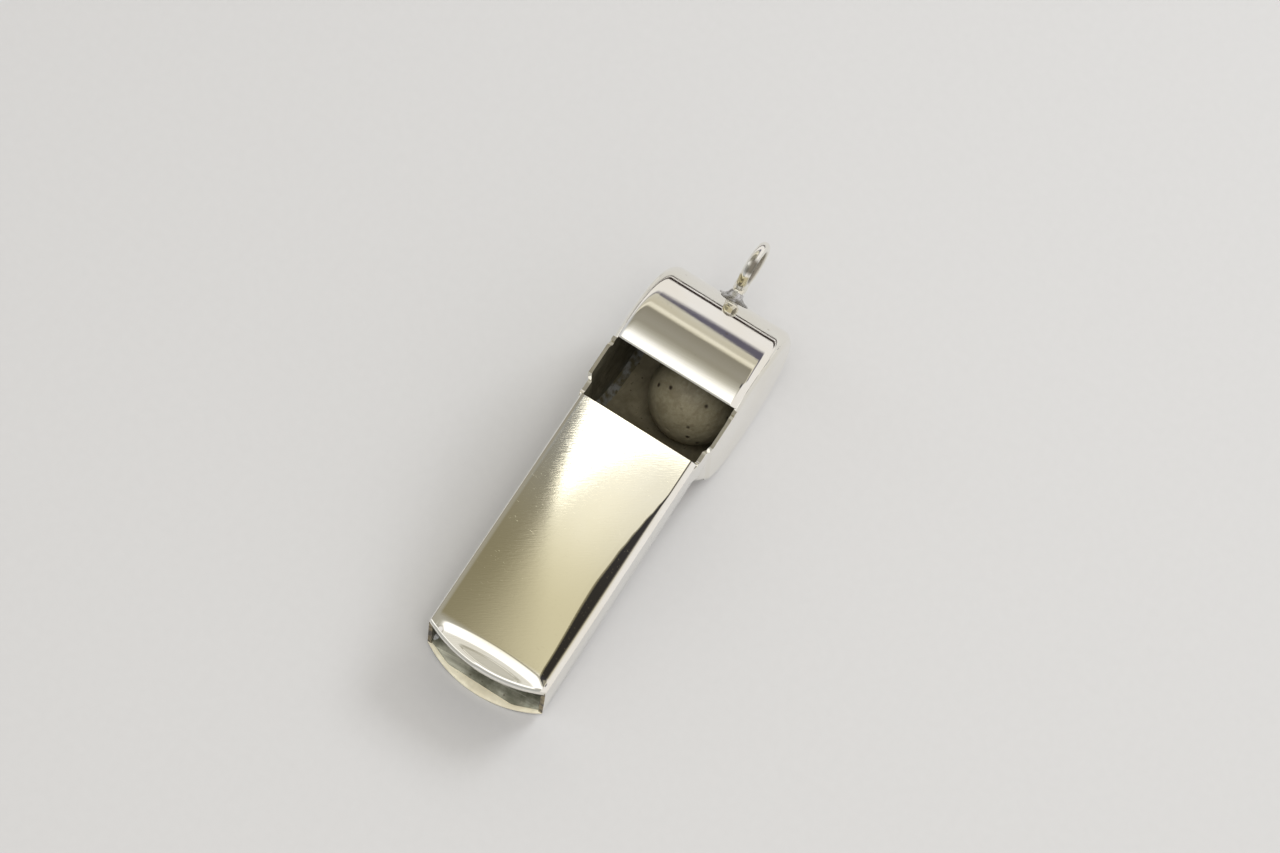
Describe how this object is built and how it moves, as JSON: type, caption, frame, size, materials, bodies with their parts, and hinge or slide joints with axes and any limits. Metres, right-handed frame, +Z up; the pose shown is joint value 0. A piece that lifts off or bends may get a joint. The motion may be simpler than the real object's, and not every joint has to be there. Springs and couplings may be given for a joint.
{
  "type": "training whistle",
  "caption": "Plated sheet-brass pea whistle with a flat mouthpiece, an open sounding window, a loose cork pea in a round chamber and a lanyard eye.",
  "frame": {"origin": "on the table under the middle of the whistle's overall length, in its mirror plane, with the whistle lying window up on its belly and its lower lip", "axes": "+X from the mouth towards the lanyard eye, +Y to the whistle's left side along the barrel axis, +Z up"},
  "size_m": [0.0588, 0.0164, 0.0206],
  "materials": {
    "plated_brass": "polished",
    "solder": "dull",
    "cork": "matte"
  },
  "bodies": {
    "shell": {"left_cheek": "plated_brass", "right_cheek": "plated_brass", "barrel_band": "plated_brass", "mouthpiece_top": "plated_brass", "mouthpiece_bottom": "plated_brass", "windway_floor": "plated_brass", "chamber_solder_left": "solder", "chamber_solder_right": "solder", "mouth_solder_left": "solder", "mouth_solder_right": "solder", "loop": "plated_brass", "loop_collar": "plated_brass"},
    "pea": {"pea": "cork"}
  },
  "joints": [
    {"name": "pea_orbit", "type": "hinge", "parent": "shell", "child": "pea", "pos_m": [0.01424, 0, 0.0099], "axis": [0, 1, 0], "continuous": true}
  ]
}
